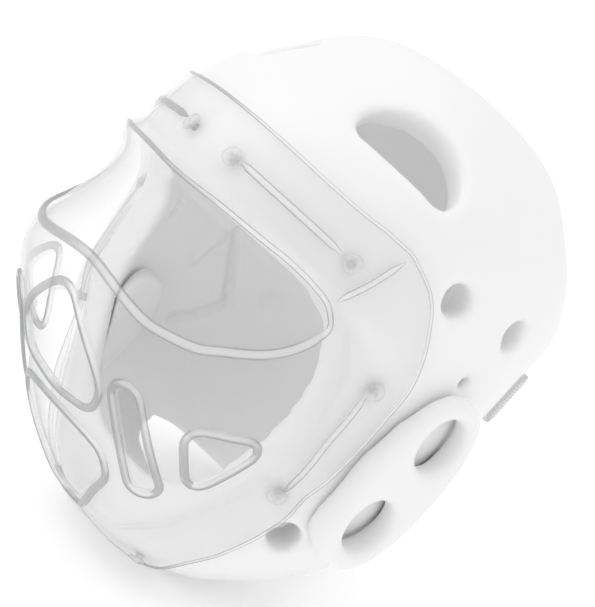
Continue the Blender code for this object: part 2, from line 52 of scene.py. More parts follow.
FORM = (
    # height, half width, widest, front, back as shares of HEIGHT, HALF_WIDTH, BACK, FRONT, BACK
    (0.000, 0.00, 0.05, 0.00, 0.00),
    (0.003, 0.17, 0.03, 0.12, 0.17),
    (0.011, 0.31, 0.02, 0.20, 0.36),
    (0.044, 0.53, 0.00, 0.23, 0.56),
    (0.096, 0.70, 0.02, 0.27, 0.66),
    (0.137, 0.81, 0.03, 0.30, 0.73),
    (0.185, 0.89, 0.05, 0.35, 0.76),
    (0.258, 0.95, 0.05, 0.46, 0.79),
    (0.321, 0.99, 0.03, 0.59, 0.83),
    (0.400, 1.00, 0.02, 0.65, 0.87),
    (0.495, 1.00, 0.00, 0.71, 0.91),
    (0.530, 1.00, 0.00, 0.82, 0.91),
    (0.556, 0.99, 0.00, 0.96, 0.92),
    (0.600, 0.99, 0.00, 0.975, 0.93),
    (0.690, 0.98, 0.00, 0.945, 0.96),
    (0.771, 0.95, 0.03, 0.90, 0.95),
    (0.815, 0.90, 0.04, 0.84, 0.87),
    (0.860, 0.81, 0.07, 0.75, 0.78),
    (0.900, 0.71, 0.06, 0.67, 0.69),
    (0.952, 0.54, 0.07, 0.55, 0.56),
    (0.980, 0.39, 0.12, 0.41, 0.42),
    (0.996, 0.20, 0.18, 0.21, 0.22),
    (1.000, 0.00, 0.19, 0.00, 0.00),
)
FORM_STEPS = 8
FORM_SIDES = 176
TINY = 1e-9


def flowing(rows, before, after, steps):
    """Rows of numbers joined by a smooth curve, so many steps from each row to the next."""
    rows = np.array([before, *rows, after], float)
    gaps = np.linalg.norm(np.diff(rows, axis=0), axis=1)[:, None] + TINY
    slopes = np.diff(rows, axis=0) / gaps
    tangents = (slopes[:-1] * gaps[1:] + slopes[1:] * gaps[:-1]) / (gaps[:-1] + gaps[1:])
    points = []
    for k in range(1, len(rows) - 2):
        for step in range(steps):
            s = step / steps
            start = (2 * s**3 - 3 * s**2 + 1) * rows[k] + (3 * s**2 - 2 * s**3) * rows[k + 1]
            lean = (s**3 - 2 * s**2 + s) * tangents[k - 1] + (s**3 - s**2) * tangents[k]
            points.append(start + lean * gaps[k])
    points.append(rows[-2])
    return np.array(points)


form_rows = np.array(FORM) * (HEIGHT, HALF_WIDTH, BACK, FRONT, BACK)
turned_over = (1, -1, 1, -1, -1)
smooth_form = flowing(form_rows, form_rows[1] * turned_over, form_rows[-2] * turned_over, FORM_STEPS)


def ring(row, sides=FORM_SIDES):
    """Points of the foam's outer form at one height."""
    z, across, widest, ahead, behind = row
    turn = np.arange(sides) * math.tau / sides
    side = np.copysign(np.abs(np.sin(turn)) ** (2 / SQUARENESS), np.sin(turn))
    along = np.copysign(np.abs(np.cos(turn)) ** (2 / SQUARENESS), np.cos(turn))
    y = widest - along * np.where(along > 0, ahead, behind)
    return np.stack([side * across, y, np.full(sides, z)], axis=1)


rings = np.array([ring(row) for row in smooth_form])
skin_faces = []
for row in range(len(rings) - 1):
    for k in range(FORM_SIDES):
        after = (k + 1) % FORM_SIDES
        low = row * FORM_SIDES
        high = low + FORM_SIDES
        skin_faces.append((low + k, low + after, high + after, high + k))
skin = BVHTree.FromPolygons([Vector(point) for point in rings.reshape(-1, 3)], skin_faces)


def outward(point, normal):
    """The normal, turned to point out of the head."""
    middle = Vector((0.0, 0.0, HEIGHT / 2))
    return normal if normal.dot(point - middle) > 0 else -normal


def seat(place):
    """Nearest point of the skin to a place, and the way out of the foam there."""
    point, normal, _, _ = skin.find_nearest(Vector(place))
    return point, outward(point, normal)


def in_lengths(share, side=1):
    """A place given in shares of half width, front and height, in metres."""
    return Vector((share[0] * HALF_WIDTH * side, share[1] * FRONT, share[2] * HEIGHT))


def points_of(mesh):
    """The mesh's points as rows of an array."""
    points = np.empty(len(mesh.vertices) * 3)
    mesh.vertices.foreach_get("co", points)
    return points.reshape(-1, 3)


def set_points(mesh, points):
    """Puts the mesh's points where the array says."""
    mesh.vertices.foreach_set("co", np.ascontiguousarray(points, dtype=np.float32).ravel())
    mesh.update()


def normals_of(mesh):
    """The way out at each point of the mesh."""
    normals = np.empty(len(mesh.vertices) * 3)
    mesh.vertices.foreach_get("normal", normals)
    return normals.reshape(-1, 3)


EASE = 0.5


def softened(mesh, points, rounds, weight=EASE):
    """The points after so many rounds in which each moves towards the middle of its neighbours."""
    edges = np.empty(len(mesh.edges) * 2, dtype=np.int64)
    mesh.edges.foreach_get("vertices", edges)
    one, two = edges.reshape(-1, 2).T
    count = len(points)
    share = np.maximum(np.bincount(one, minlength=count) + np.bincount(two, minlength=count), 1)
    for _ in range(rounds):
        middle = np.empty_like(points)
        for axis in range(3):
            total = np.bincount(one, weights=points[two, axis], minlength=count)
            total += np.bincount(two, weights=points[one, axis], minlength=count)
            middle[:, axis] = total / share
        points = points + (middle - points) * np.reshape(weight, (-1, 1))
    return points


def mesh_from(name, points, faces):
    mesh = bpy.data.meshes.new(name)
    mesh.from_pydata([tuple(point) for point in points], [], faces)
    mesh.update()
    return mesh


def evaluated(mesh, settings):
    """A new mesh that is the given one after a list of modifiers."""
    thing = bpy.data.objects.new("working", mesh)
    bpy.context.scene.collection.objects.link(thing)
    for kind, values in settings:
        step = thing.modifiers.new(kind, kind)
        for key, value in values.items():
            setattr(step, key, value)
    graph = bpy.context.evaluated_depsgraph_get()
    graph.update()
    made = bpy.data.meshes.new_from_object(thing.evaluated_get(graph))
    bpy.data.objects.remove(thing)
    return made


WELD = 1e-6


def worn_copy(node):
    """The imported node's mesh, welded and turned into the frame it is worn in."""
    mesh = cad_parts[node].data.copy()
    mesh.transform(WORN.inverted())
    welded = bmesh.new()
    welded.from_mesh(mesh)
    bmesh.ops.remove_doubles(welded, verts=welded.verts, dist=WELD)
    welded.to_mesh(mesh)
    welded.free()
    return mesh


def even_mesh(mesh, voxel):
    """The closed mesh with one even net of small faces all over."""
    return evaluated(mesh, [("REMESH", {"mode": "VOXEL", "voxel_size": voxel, "adaptivity": 0.0})])


def piece(name, mesh, finishes, node):
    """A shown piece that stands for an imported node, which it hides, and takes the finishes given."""
    mesh.transform(WORN)
    numbers = [face.material_index for face in mesh.polygons]
    mesh.materials.clear()
    for finish in finishes:
        mesh.materials.append(finish.material)
    mesh.polygons.foreach_set("material_index", numbers)
    mesh.polygons.foreach_set("use_smooth", [True] * len(mesh.polygons))
    made = bpy.data.objects.new(name, mesh)
    bpy.context.scene.collection.objects.link(made)
    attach(made, "root")
    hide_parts(node)
    return made


class Wire:
    """An output socket of a finish, with the operators of a number."""

    def __init__(self, finish, socket):
        self.finish = finish
        self.socket = socket

    def __add__(self, other):
        return self.finish.maths("ADD", self, other)

    def __sub__(self, other):
        return self.finish.maths("SUBTRACT", self, other)

    def __rsub__(self, other):
        return self.finish.maths("SUBTRACT", other, self)

    def __mul__(self, other):
        return self.finish.maths("MULTIPLY", self, other)

    def __truediv__(self, other):
        return self.finish.maths("DIVIDE", self, other)

    def __rtruediv__(self, other):
        return self.finish.maths("DIVIDE", other, self)

    def __pow__(self, other):
        return self.finish.maths("POWER", self, other)

    __radd__ = __add__
    __rmul__ = __mul__


class Finish:
    """A procedural material, with one method that adds any node."""

    def __init__(self, name, **settings):
        self.material = bpy.data.materials.new(name)
        self.material.use_nodes = True
        self.tree = self.material.node_tree
        self.shader = self.tree.nodes["Principled BSDF"]
        self.set(self.shader, settings)

    def set(self, node, inputs):
        for key, value in inputs.items():
            socket = node.inputs[key if isinstance(key, int) else key.replace("_", " ")]
            if isinstance(value, Wire):
                self.tree.links.new(value.socket, socket)
            else:
                socket.default_value = value

    def node(self, kind, settings=None, inputs=None, output=0):
        made = self.tree.nodes.new("ShaderNode" + kind)
        for key, value in (settings or {}).items():
            if key == "stops":
                for stop, (place, colour) in zip(made.color_ramp.elements, value):
                    stop.position = place
                    stop.color = colour
            else:
                setattr(made, key, value)
        self.set(made, inputs or {})
        return Wire(self, made.outputs[output])

    def maths(self, operation, *values):
        return self.node("Math", {"operation": operation}, dict(enumerate(values)))

    def noise(self, scale, detail=2.0):
        place = self.node("TexCoord", output="Object")
        return self.node("TexNoise", None, {"Vector": place, "Scale": scale, "Detail": detail})

    def blend(self, share, one, two):
        """Colour that goes from one to two."""
        settings = {"data_type": "RGBA"}
        return self.node("Mix", settings, {0: share, 6: one, 7: two}, output=2)

    def bumped(self, height, distance, strength=1.0):
        inputs = {"Height": height, "Distance": distance, "Strength": strength}
        self.set(self.shader, {"Normal": self.node("Bump", None, inputs)})


def grey(level, tint=0.0):
    """A grey, a little blue if the tint is above 0."""
    return (level - tint, level - tint / 2, level, 1.0)


foam_finish = Finish("white dipped foam", Roughness=0.46, Coat_Weight=0.12, Coat_Roughness=0.3)
cloud = foam_finish.noise(14.0)
tone = foam_finish.blend(cloud, grey(0.87), grey(0.90))
foam_finish.set(foam_finish.shader, {"Base Color": tone, "Roughness": 0.40 + cloud * 0.12})
foam_finish.bumped(foam_finish.noise(520.0, 3.0) + foam_finish.noise(90.0) * 2.0, 0.00010, 0.55)

FOAM_NET = 0.0021
FOAM_ROUNDS = 30
RIVET_RISE = 0.0051
PLUG = 0.0034
PLUG_BOTTOM = -0.0135
PLUG_TOP = -0.0006
RIVETS = 10
SIDE_VENT = 0.016
SMALL_VENT = 0.007
FOAM_VENTS = (
    # x, y, z as shares, diameter
    (0.93, -0.28, 0.685, SIDE_VENT),
    (0.95, 0.11, 0.712, SIDE_VENT),
    (0.97, 0.04, 0.598, SMALL_VENT),
    (0.87, -0.04, 0.212, SIDE_VENT),
)


def rivet_frame(node):
    """Where the rivet's axis meets the foam, and the way it points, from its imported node."""
    points = points_of(worn_copy(node))
    middle = points.mean(axis=0)
    axis = np.linalg.svd(points - middle, full_matrices=False)[2][0]
    rise = (points - middle) @ axis
    out = np.linalg.norm(points - middle - np.outer(rise, axis), axis=1)
    if out[rise > 0].max() < out[rise < 0].max():
        axis = -axis
        rise = -rise
    return Vector(middle + axis * (rise.max() - RIVET_RISE)), Vector(axis)


rivet_seats = [rivet_frame(f"rivet_{k:02d}") for k in range(1, RIVETS + 1)]


def rod(point, axis, radius, near, far, sides=20):
    """Points and faces of a closed round bar."""
    across = axis.orthogonal().normalized()
    up = axis.cross(across)
    points = []
    for reach in (near, far):
        for k in range(sides):
            turn = math.tau * k / sides
            points.append(point + axis * reach + (across * math.cos(turn) + up * math.sin(turn)) * radius)
    faces = [tuple(range(sides))[::-1], tuple(range(sides, 2 * sides))]
    for k in range(sides):
        after = (k + 1) % sides
        faces.append((k, after, sides + after, sides + k))
    return points, faces


foam = worn_copy("foam_shell")
filled = bmesh.new()
filled.from_mesh(foam)
for point, axis in rivet_seats:
    bar_points, bar_faces = rod(point, axis, PLUG, PLUG_BOTTOM, PLUG_TOP)
    corners = [filled.verts.new(corner) for corner in bar_points]
    for face in bar_faces:
        filled.faces.new([corners[k] for k in face])
filled.to_mesh(foam)
filled.free()
foam = even_mesh(foam, FOAM_NET)
points = points_of(foam)

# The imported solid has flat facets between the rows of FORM. Each point moves from its place on them to
# the same place on the smooth form.
NARROWEST = 1e-4
row_z = form_rows[:, 0]
place = np.interp(points[:, 2], row_z, np.arange(len(row_z)))
fine_place = np.arange(len(smooth_form)) / FORM_STEPS
flat_row = [np.interp(points[:, 2], row_z, form_rows[:, k]) for k in range(5)]
fine_row = [np.interp(place, fine_place, smooth_form[:, k]) for k in range(5)]
points[:, 0] = points[:, 0] / np.maximum(flat_row[1], NARROWEST) * fine_row[1]
behind = points[:, 1] > flat_row[2]
flat_depth = np.where(behind, flat_row[4], flat_row[3])
fine_depth = np.where(behind, fine_row[4], fine_row[3])
depth = (points[:, 1] - flat_row[2]) / np.maximum(flat_depth, NARROWEST)
points[:, 1] = fine_row[2] + depth * fine_depth
points[:, 2] = fine_row[0]

# Small holes would close as the foam is rounded, so it is rounded less near them.
WALL_REACH = 0.03
VENT_MARGIN = 0.001
VENT_FADE = 0.006
LEAST_EASE = 0.10
EASE_PER_METRE = 10
firmness = np.full(len(points), EASE)
for side in (-1, 1):
    for *share, diameter in FOAM_VENTS:
        point, normal = seat(in_lengths(share, side))
        reach = points - np.array(point)
        depth = reach @ np.array(normal)
        off = np.linalg.norm(reach - np.outer(depth, normal), axis=1)
        least = LEAST_EASE + EASE_PER_METRE * diameter
        near = np.clip((off - diameter / 2 - VENT_MARGIN) / VENT_FADE, least, 1.0)
        firmness = np.where(np.abs(depth) < WALL_REACH, np.minimum(firmness, near * EASE), firmness)
MOON_PLACE = (0.585, -0.672, 0.790)
MOON_MIDDLE = 0.010
MOON_RADIUS = 0.0192
MOON_FADE = 0.012
MOON_DEPTH = 0.034
MOON_OPENING = 0.0030
for side in (-1, 1):
    point, normal = seat(in_lengths(MOON_PLACE, side))
    level = Vector((0, 0, 1)).cross(normal).normalized()
    middle = np.array(point + normal.cross(level) * MOON_MIDDLE)
    reach = points - middle
    depth = reach @ np.array(normal)
    flat = reach - np.outer(depth, normal)
    off = np.linalg.norm(flat, axis=1)
    near = np.exp(-(((off - MOON_RADIUS) / MOON_FADE) ** 2)) * (np.abs(depth) < MOON_DEPTH)
    points += flat / np.maximum(off, NARROWEST)[:, None] * (MOON_OPENING * near)[:, None]
points = softened(foam, points, FOAM_ROUNDS, firmness)
set_points(foam, points)


def distance_to_line(points, line):
    """Shortest distance of each point to a run of straight pieces."""
    best = np.full(len(points), np.inf)
    for start, end in zip(line, line[1:]):
        start = np.array(start)
        way = np.array(end) - start
        share = np.clip((points - start) @ way / (way @ way), 0, 1)
        best = np.minimum(best, np.linalg.norm(points - start - np.outer(share, way), axis=1))
    return best


# Pressed lines of the lining, on the wearer's right; the left mirrors them.
LINING_LINES = (
    # half width, depth, points
    (0.0020, 0.0034, ((-0.0766, 0.0211, 0.1455), (-0.0748, 0.0294, 0.1357), (-0.0723, 0.0374, 0.1247),
                      (-0.0698, 0.0428, 0.1156))),
    (0.0020, 0.0028, ((-0.0755, 0.0259, 0.0898), (-0.0726, 0.0357, 0.0993), (-0.0697, 0.0430, 0.1123))),
    (0.0032, -0.0026, ((-0.0784, 0.0109, 0.1204), (-0.0783, 0.0115, 0.1297), (-0.0779, 0.0150, 0.1381))),
    (0.0030, 0.0060, ((-0.0731, -0.0282, 0.1343), (-0.0731, -0.0280, 0.1350))),
    (0.0024, -0.0034, ((-0.0696, 0.0432, 0.1150), (-0.0695, 0.0434, 0.1156))),
    (0.0062, 0.0022, ((-0.0591, 0.0600, 0.1307), (-0.0590, 0.0602, 0.1310))),
)
points = points_of(foam)
normals = normals_of(foam)
for half_width, depth, line in LINING_LINES:
    for side in (1, -1):
        mirrored_line = [(x * side, y, z) for x, y, z in line]
        away = distance_to_line(points, mirrored_line)
        points -= normals * (depth * np.exp(-((away / half_width) ** 4)))[:, None]
set_points(foam, points)
foam.transform(WORN)
points = points_of(foam)

# The guard stands on the sling and the nape, so their lowest points come down to the floor again.
SLING_Y = -0.059
NAPE_Y = 0.031
SOLE_REACH = 0.03
near_sling = np.abs(points[:, 1] - SLING_Y) < SOLE_REACH
near_nape = np.abs(points[:, 1] - NAPE_Y) < SOLE_REACH
low_sling = points[near_sling, 2].min()
low_nape = points[near_nape, 2].min()
along = np.clip((points[:, 1] - SLING_Y) / (NAPE_Y - SLING_Y), 0, 1)
lift = low_sling + (low_nape - low_sling) * along
points[:, 2] -= lift * np.clip(1 - points[:, 2] / SOLE_REACH, 0, 1)
set_points(foam, points)
foam.transform(WORN.inverted())
foam_shell = piece("moulded_foam_shell", foam, [foam_finish], "foam_shell")

# 2. Ear flaps. Two thick oval pads of the same dipped foam, bonded to the sides over ear and jaw, with
# two round sound holes in each. Their edges are well rounded.
FLAP_NET = 0.0015
FLAP_ROUNDS = 46
for side in ("left", "right"):
    flap = even_mesh(worn_copy(f"ear_flap_{side}"), FLAP_NET)
    set_points(flap, softened(flap, points_of(flap), FLAP_ROUNDS))
    made = piece(f"soft_ear_flap_{side}", flap, [foam_finish], f"ear_flap_{side}")

# 3. Cheek pads. Soft upright pads stuck to the inner wall of each cheek, of the same white foam with a
# dull lining, seen through the shield.
pad_finish = Finish("white pad lining", Roughness=0.62)
pad_tone = pad_finish.blend(pad_finish.noise(40.0), grey(0.82), grey(0.87))
pad_finish.set(pad_finish.shader, {"Base Color": pad_tone})
pad_finish.bumped(pad_finish.noise(900.0, 3.0), 0.00012, 0.6)
PAD_NET = 0.0013
PAD_ROUNDS = 36
for side in ("left", "right"):
    pad = even_mesh(worn_copy(f"cheek_pad_{side}"), PAD_NET)
    set_points(pad, softened(pad, points_of(pad), PAD_ROUNDS))
    made = piece(f"lined_cheek_pad_{side}", pad, [pad_finish], f"cheek_pad_{side}")

# 4. Face shield. Clear plastic, 2 mm thick, heated and pressed over a mould: it lies on brow, cheeks and
# chin and bulges over the face. Vents are cut out afterwards, and pressed ridges stiffen them.
SHIELD_ROWS = (
    # centre y, centre z, corner x, y, z, edge x, y, z as shares, fullness, 1 where it lies on the foam
    (-0.960, 0.685, 0.73, -0.67, 0.687, 0.81, -0.55, 0.687, 2.0, 1),
    (-0.977, 0.665, 0.77, -0.65, 0.664, 0.88, -0.42, 0.662, 2.0, 1),
    (-1.002, 0.620, 0.80, -0.62, 0.618, 0.93, -0.31, 0.610, 2.0, 1),
    (-1.008, 0.575, 0.81, -0.58, 0.572, 0.96, -0.24, 0.560, 2.0, 1),
    (-0.990, 0.548, 0.81, -0.54, 0.540, 0.97, -0.205, 0.515, 2.0, 0),
    (-0.950, 0.520, 0.815, -0.45, 0.505, 0.975, -0.195, 0.470, 2.0, 0),
    (-0.970, 0.460, 0.83, -0.37, 0.455, 0.98, -0.190, 0.425, 2.0, 0),
    (-1.015, 0.395, 0.845, -0.33, 0.395, 0.975, -0.185, 0.380, 2.1, 0),
    (-1.040, 0.345, 0.855, -0.315, 0.345, 0.965, -0.185, 0.330, 2.3, 0),
    (-1.020, 0.300, 0.83, -0.30, 0.300, 0.94, -0.180, 0.288, 2.4, 0),
    (-0.955, 0.255, 0.775, -0.275, 0.258, 0.905, -0.14, 0.245, 2.4, 0),
    (-0.840, 0.205, 0.70, -0.25, 0.212, 0.855, -0.125, 0.195, 2.4, 0),
    (-0.710, 0.155, 0.62, -0.225, 0.168, 0.79, -0.115, 0.150, 2.4, 0),
    (-0.570, 0.105, 0.53, -0.21, 0.120, 0.70, -0.10, 0.103, 2.4, 0),
    (-0.430, 0.062, 0.42, -0.205, 0.073, 0.57, -0.075, 0.062, 2.3, 0),
    (-0.295, 0.028, 0.29, -0.20, 0.035, 0.44, -0.04, 0.030, 2.1, 0),
    (-0.170, 0.004, 0.18, -0.14, 0.005, 0.34, -0.01, 0.013, 2.0, 1),
    (-0.040, -0.004, 0.15, -0.035, -0.002, 0.30, 0.02, 0.008, 2.0, 1),
)
SHIELD = 0.0020
SEAT_GAP = 0.0011
ROW_STEPS = 11
BUBBLE_STEPS = 60
FLANGE_STEPS = 12
SHIELD_ROUNDS = 7
# Fullness and lying are scaled to weigh little in the spacing of the rows.
LIGHT = 0.01
lengths = (FRONT, HEIGHT, HALF_WIDTH, FRONT, HEIGHT, HALF_WIDTH, FRONT, HEIGHT, LIGHT, LIGHT)
shield_rows = np.array(SHIELD_ROWS) * lengths
before = 2 * shield_rows[0] - shield_rows[1]
after = 2 * shield_rows[-1] - shield_rows[-2]
shield_rows = flowing(shield_rows, before, after, ROW_STEPS)


def laid(place):
    """The place moved to the inner face of a shield that lies on the foam."""
    point, normal = seat(place)
    return point + normal * SEAT_GAP


grid = []
for row in shield_rows:
    centre = Vector((0, row[0], row[1]))
    corner = Vector(row[2:5])
    edge = Vector(row[5:8])
    power = 2 * LIGHT / row[8]
    lying = min(max(row[9] / LIGHT, 0.0), 1.0)
    half = []
    for k in range(BUBBLE_STEPS + 1):
        turn = math.pi / 2 * k / BUBBLE_STEPS
        sideways = math.sin(turn) ** power
        ahead = max(math.cos(turn), 0.0) ** power if k < BUBBLE_STEPS else 0.0
        swing = Vector((corner.x * sideways, corner.y, corner.z))
        swing += Vector((0, centre.y - corner.y, centre.z - corner.z)) * ahead
        share = max(lying, 1.0 if k == BUBBLE_STEPS else 0.0)
        half.append(swing.lerp(laid(swing), share) if share else swing)
    for k in range(1, FLANGE_STEPS + 1):
        half.append(laid(corner.lerp(edge, k / FLANGE_STEPS)))
    grid.append([Vector((-point.x, point.y, point.z)) for point in reversed(half[1:])] + half)
columns = len(grid[0])
sheet_points = np.array([tuple(point) for line in grid for point in line])
sheet_faces = []
for row in range(len(grid) - 1):
    for k in range(columns - 1):
        start = row * columns + k
        sheet_faces.append((start, start + columns, start + columns + 1, start + 1))
sheet = mesh_from("shield sheet", sheet_points, sheet_faces)
inner = np.full(len(sheet_points), EASE).reshape(len(grid), columns)
inner[0] = inner[-1] = 0.0
inner[:, 0] = inner[:, -1] = 0.0
sheet_points = softened(sheet, sheet_points, SHIELD_ROUNDS, inner.ravel())
set_points(sheet, sheet_points)
sheet_normals = normals_of(sheet)
if sheet_normals[:, 1].mean() > 0:
    sheet.flip_normals()
    sheet_normals = normals_of(sheet)
outer_points = sheet_points + sheet_normals * SHIELD
outer = BVHTree.FromPolygons([Vector(point) for point in outer_points], sheet_faces)


def cast(start, way):
    """Where a line meets the outer face of the shield, and the way out there."""
    point, normal, _, _ = outer.ray_cast(Vector(start), Vector(way).normalized())
    if point is None:
        point, normal, _, _ = outer.find_nearest(Vector(start))
    return point, normal if normal.dot(Vector(way)) < 0 else -normal


def rounded(outline, share=0.3, steps=5):
    """The outline with each corner replaced by a curve."""
    made = []
    for k, corner in enumerate(outline):
        corner = Vector(corner)
        before = corner.lerp(Vector(outline[k - 1]), share)
        after = corner.lerp(Vector(outline[(k + 1) % len(outline)]), share)
        for step in range(steps + 1):
            t = step / steps
            made.append(before.lerp(corner, t).lerp(corner.lerp(after, t), t))
    return made


def prism(outline, way, near, far):
    """Points and faces of a closed prism over an outline."""
    count = len(outline)
    made = [point + way * near for point in outline] + [point + way * far for point in outline]
    faces = [tuple(range(count))[::-1], tuple(range(count, 2 * count))]
    for k in range(count):
        after = (k + 1) % count
        faces.append((k, after, count + after, count + k))
    return made, faces


def grown(outline, way, amount):
    """The outline with each point moved out of it, in the plane across the way."""
    middle = sum(outline, Vector()) / len(outline)
    made = []
    for k, point in enumerate(outline):
        along = outline[(k + 1) % len(outline)] - outline[k - 1]
        side = along.cross(way).normalized()
        if side.dot(point - middle) < 0:
            side = -side
        made.append(point + side * amount)
    return made


def evenly(path, gap, closed):
    """The path with its points set at even gaps."""
    line = [Vector(point) for point in path] + ([Vector(path[0])] if closed else [])
    lengths = [0.0]
    for one, two in zip(line, line[1:]):
        lengths.append(lengths[-1] + (two - one).length)
    count = max(int(lengths[-1] / gap), 4)
    marks = np.linspace(0, lengths[-1], count + 1)
    if closed:
        marks = marks[:-1]
    spread = np.array([tuple(point) for point in line])
    return [Vector([np.interp(mark, lengths, spread[:, axis]) for axis in range(3)]) for mark in marks]


# Half a ridge's section, from its foot to its middle: share of the half width, share of the height.
SHOULDER = ((1.0, -0.12), (0.93, 0.22), (0.80, 0.58), (0.62, 0.84), (0.38, 0.98), (0.0, 1.0))
SECTION = SHOULDER + tuple((-out, rise) for out, rise in SHOULDER[-2::-1])
END_TAPER = 0.25
TAPER_STEPS = 4
SLIM = 0.55
SLIM_FADE = 0.020


def bead(path, width, height, closed, slim_above=HEIGHT):
    """Points and faces of a low pressed ridge along a path of points and normals on the shield.

    An open ridge tapers to its ends, and any ridge is slimmer above the height given."""
    section = len(SECTION)
    made = []
    count = len(path)
    for k, (point, normal) in enumerate(path):
        before = path[k - 1][0] if closed or k else point
        after = path[(k + 1) % count][0] if closed or k < count - 1 else point
        across = normal.cross(after - before).normalized()
        from_end = min(k, count - 1 - k)
        taper = 1.0 if closed else min(1.0, END_TAPER + (1 - END_TAPER) * from_end / TAPER_STEPS)
        if point.z > slim_above:
            taper = max(SLIM, 1.0 - (point.z - slim_above) / SLIM_FADE)
        for out, rise in SECTION:
            made.append(point + (across * out * width / 2 + normal * height * rise) * taper)
    faces = []
    for k in range(count if closed else count - 1):
        here = k * section
        there = (k + 1) % count * section
        for step in range(section - 1):
            faces.append((here + step, there + step, there + step + 1, here + step + 1))
    return made, faces


NOSE_VENT = ((0.0, 0.300), (0.30, 0.210), (0.24, 0.172), (0.0, 0.160), (-0.24, 0.172), (-0.30, 0.210))
CHIN_VENT = ((0.30, 0.122), (0.32, 0.098), (0.10, 0.022), (-0.10, 0.022), (-0.32, 0.098), (-0.30, 0.122))
SIDE_VENT_CORNERS = ((0.63, -0.65, 0.258), (0.63, -0.40, 0.178), (0.82, -0.46, 0.312))
SIDE_VENT_AXIS = (0.78, -0.58, -0.22)
SLOT_ENDS = ((0.42, -0.79, 0.236), (0.485, -0.475, 0.140))
SLOT_AXIS = (0.45, -0.72, -0.53)
SLOT_WIDTH = 0.010
SIDE_CUT = 0.020
NOSE_CUT = 0.80
CHIN_CUT = 0.925
AHEAD = -2.0
SLOT_STEPS = 12

vents = []
for outline, reach in ((NOSE_VENT, NOSE_CUT), (CHIN_VENT, CHIN_CUT)):
    corners = rounded([in_lengths((x, AHEAD, z)) for x, z in outline])
    vents.append((corners, Vector((0, 1, 0)), 0.0, 2 * FRONT * reach))
for side in (-1, 1):
    way = Vector(SIDE_VENT_AXIS).normalized()
    way.x *= side
    corners = rounded([in_lengths(corner, side) for corner in SIDE_VENT_CORNERS])
    vents.append((corners, -way, -SIDE_CUT, SIDE_CUT))
    way = Vector(SLOT_AXIS).normalized()
    way.x *= side
    top, low = [in_lengths(end, side) for end in SLOT_ENDS]
    along = (low - top).normalized()
    across = way.cross(along).normalized() * SLOT_WIDTH / 2
    back = along * SLOT_WIDTH / 2
    corners = []
    for end, sign in ((low, 1), (top, -1)):
        for k in range(SLOT_STEPS + 1):
            turn = math.pi * k / SLOT_STEPS
            corners.append(end + (across * math.cos(turn) + back * math.sin(turn)) * sign)
    vents.append((corners, -way, -SIDE_CUT, SIDE_CUT))

shield = evaluated(sheet, [("SOLIDIFY", {"thickness": SHIELD, "offset": 1.0})])
cutters = []
for corners, way, near, far in vents:
    tool = bpy.data.objects.new("vent tool", mesh_from("vent tool", *prism(corners, way, near, far)))
    bpy.context.scene.collection.objects.link(tool)
    cutters.append(tool)
steps = [("BOOLEAN", {"operation": "DIFFERENCE", "solver": "EXACT", "object": tool}) for tool in cutters]
shield = evaluated(shield, steps)
for tool in cutters:
    bpy.data.objects.remove(tool)

SHARP_FROM = math.radians(42)
RIM_WIDTH = 0.0042
RIM_HEIGHT = 0.0015
RIM_CLEARANCE = 0.0004
RIM_STEP = 0.0012
RIDGE_STEP = 0.0015
WINDOW_WIDTH = 0.0046
WINDOW_HEIGHT = 0.0016
SLIM_ABOVE = 0.49
EDGE_STEP = 0.002
EDGE_WIDTH = 0.0017
EDGE_HEIGHT = 0.0006
ridges = []
for corners, way, near, far in vents:
    outline = evenly(grown(corners, way, RIM_WIDTH / 2 + RIM_CLEARANCE), RIM_STEP, True)
    path = [cast(point + way * near, way) for point in outline]
    ridges.append(bead(path, RIM_WIDTH, RIM_HEIGHT, True))
WINDOW = (
    # x and z as shares, right half from the middle of the brow round to the middle below
    (0.0, 0.541), (0.28, 0.546), (0.50, 0.549), (0.66, 0.552), (0.74, 0.549), (0.785, 0.543),
    (0.803, 0.527), (0.791, 0.497), (0.772, 0.464), (0.725, 0.416), (0.664, 0.383), (0.617, 0.361),
    (0.534, 0.347),
    (0.439, 0.338), (0.311, 0.340), (0.177, 0.347), (0.0, 0.353),
)
half = [(x, 0.0, z) for x, z in WINDOW]
whole = half + [(-x, y, z) for x, y, z in half[-2:0:-1]]
whole = [in_lengths(place) for place in whole]
curve = flowing([tuple(place) for place in whole] + [tuple(whole[0])], whole[-1], whole[1], 6)[:-1]
outline = evenly([Vector((x, AHEAD * FRONT, z)) for x, _, z in curve], RIDGE_STEP, True)
window_path = [cast(point, (0, 1, 0)) for point in outline]
window_ridge = bead(window_path, WINDOW_WIDTH, WINDOW_HEIGHT, True, SLIM_ABOVE * HEIGHT)
ridges.append(window_ridge)
PRESSED_LINES = (
    # width and height in metres, places as shares, on the wearer's left and mirrored
    (0.0034, 0.0010, ((0.20, -1.0, 0.618), (0.36, -0.97, 0.617), (0.52, -0.88, 0.616),
                      (0.69, -0.72, 0.615))),
    (0.0030, 0.0010, ((0.78, -0.66, 0.553), (0.81, -0.61, 0.61), (0.822, -0.587, 0.645),
                      (0.828, -0.568, 0.672))),
    (0.0030, 0.0009, ((0.93, -0.32, 0.48), (0.926, -0.30, 0.435), (0.916, -0.287, 0.386),
                      (0.89, -0.25, 0.32), (0.851, -0.213, 0.272))),
)


def nearest(place):
    """The point of the shield's outer face nearest to a place, and the way out there."""
    point, normal, _, _ = outer.find_nearest(place)
    return point, outward(point, normal)


